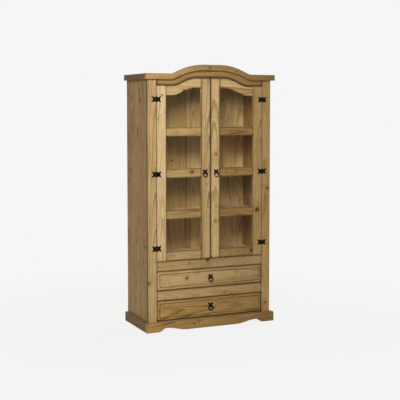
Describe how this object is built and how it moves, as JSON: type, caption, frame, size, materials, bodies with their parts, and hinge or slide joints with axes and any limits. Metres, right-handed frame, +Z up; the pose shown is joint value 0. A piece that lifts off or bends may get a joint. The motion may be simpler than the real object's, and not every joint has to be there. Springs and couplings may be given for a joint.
{
  "type": "display cabinet",
  "caption": "Tall waxed pine cabinet with an arched crown, glazed double doors over drawers with raised fields, butterfly hinges, ring pulls and a shaped plinth.",
  "frame": {"origin": "on the floor, under the centre of the cabinet's bounding box", "axes": "+X to the viewer's right, +Y from the front to the back, +Z up"},
  "size_m": [1, 0.45, 1.87],
  "materials": {
    "waxed_pine": "satin wax",
    "bare_pine": "sanded",
    "glass": "clear",
    "black_iron": "semi-matt black",
    "catch_plastic": "moulded"
  },
  "bodies": {
    "cabinet": {"side_panel_left": "waxed_pine", "side_panel_right": "waxed_pine", "face_post_left": "waxed_pine", "face_post_right": "waxed_pine", "face_top_rail": "waxed_pine", "face_mid_rail": "waxed_pine", "face_drawer_rail": "waxed_pine", "face_bottom_rail": "waxed_pine", "crown_front": "waxed_pine", "cornice_left": "waxed_pine", "cornice_right": "waxed_pine", "top_panel": "waxed_pine", "back_panel_left": "waxed_pine", "back_panel_right": "waxed_pine", "back_centre_stile": "waxed_pine", "back_bottom_rail": "bare_pine", "shelf_upper": "waxed_pine", "shelf_middle": "waxed_pine", "shelf_lower": "waxed_pine", "cleats": "bare_pine", "compartment_floor": "waxed_pine", "base_panel": "bare_pine", "corner_blocks": "bare_pine", "plinth_front": "waxed_pine", "plinth_left": "waxed_pine", "plinth_right": "waxed_pine", "drawer_runners": "bare_pine", "hinge_post_leaves": "black_iron", "hinge_pins": "black_iron", "door_catches": "catch_plastic"},
    "door_left": {"door_left_hinge_stile": "waxed_pine", "door_left_lock_stile": "waxed_pine", "door_left_top_rail": "waxed_pine", "door_left_bottom_rail": "waxed_pine", "door_left_glazing_bars": "waxed_pine", "door_left_panes": "glass", "door_left_glazing_beads": "waxed_pine", "door_left_hinge_leaves": "black_iron", "door_left_pull_plate": "black_iron"},
    "door_left_ring": {"door_left_pull_ring": "black_iron"},
    "door_right": {"door_right_hinge_stile": "waxed_pine", "door_right_lock_stile": "waxed_pine", "door_right_top_rail": "waxed_pine", "door_right_bottom_rail": "waxed_pine", "door_right_glazing_bars": "waxed_pine", "door_right_panes": "glass", "door_right_glazing_beads": "waxed_pine", "door_right_hinge_leaves": "black_iron", "door_right_pull_plate": "black_iron"},
    "door_right_ring": {"door_right_pull_ring": "black_iron"},
    "lower_drawer": {"lower_drawer_front": "waxed_pine", "lower_drawer_box": "bare_pine", "lower_drawer_bottom": "bare_pine", "lower_drawer_pull_plate": "black_iron"},
    "lower_drawer_ring": {"lower_drawer_pull_ring": "black_iron"},
    "upper_drawer": {"upper_drawer_front": "waxed_pine", "upper_drawer_box": "bare_pine", "upper_drawer_bottom": "bare_pine", "upper_drawer_pull_plate": "black_iron"},
    "upper_drawer_ring": {"upper_drawer_pull_ring": "black_iron"}
  },
  "joints": [
    {"name": "door_left_hinge", "type": "hinge", "parent": "cabinet", "child": "door_left", "pos_m": [-0.412, -0.1995, 1.106], "axis": [0, 0, -1], "range_deg": [0, 170]},
    {"name": "door_right_hinge", "type": "hinge", "parent": "cabinet", "child": "door_right", "pos_m": [0.412, -0.1995, 1.106], "axis": [0, 0, 1], "range_deg": [0, 170]},
    {"name": "lower_drawer_slide", "type": "slide", "parent": "cabinet", "child": "lower_drawer", "axis": [0, -1, 0], "range_m": [0, 0.3]},
    {"name": "upper_drawer_slide", "type": "slide", "parent": "cabinet", "child": "upper_drawer", "axis": [0, -1, 0], "range_m": [0, 0.3]},
    {"name": "door_left_ring_swing", "type": "hinge", "parent": "door_left", "child": "door_left_ring", "pos_m": [-0.0439, -0.2035, 1.113], "axis": [-1, 0, 0], "range_deg": [-8, 180]},
    {"name": "door_right_ring_swing", "type": "hinge", "parent": "door_right", "child": "door_right_ring", "pos_m": [0.0439, -0.2035, 1.113], "axis": [-1, 0, 0], "range_deg": [-8, 180]},
    {"name": "lower_drawer_ring_swing", "type": "hinge", "parent": "lower_drawer", "child": "lower_drawer_ring", "pos_m": [0, -0.2035, 0.1525], "axis": [-1, 0, 0], "range_deg": [-8, 180]},
    {"name": "upper_drawer_ring_swing", "type": "hinge", "parent": "upper_drawer", "child": "upper_drawer_ring", "pos_m": [0, -0.2035, 0.36], "axis": [-1, 0, 0], "range_deg": [-8, 180]}
  ]
}
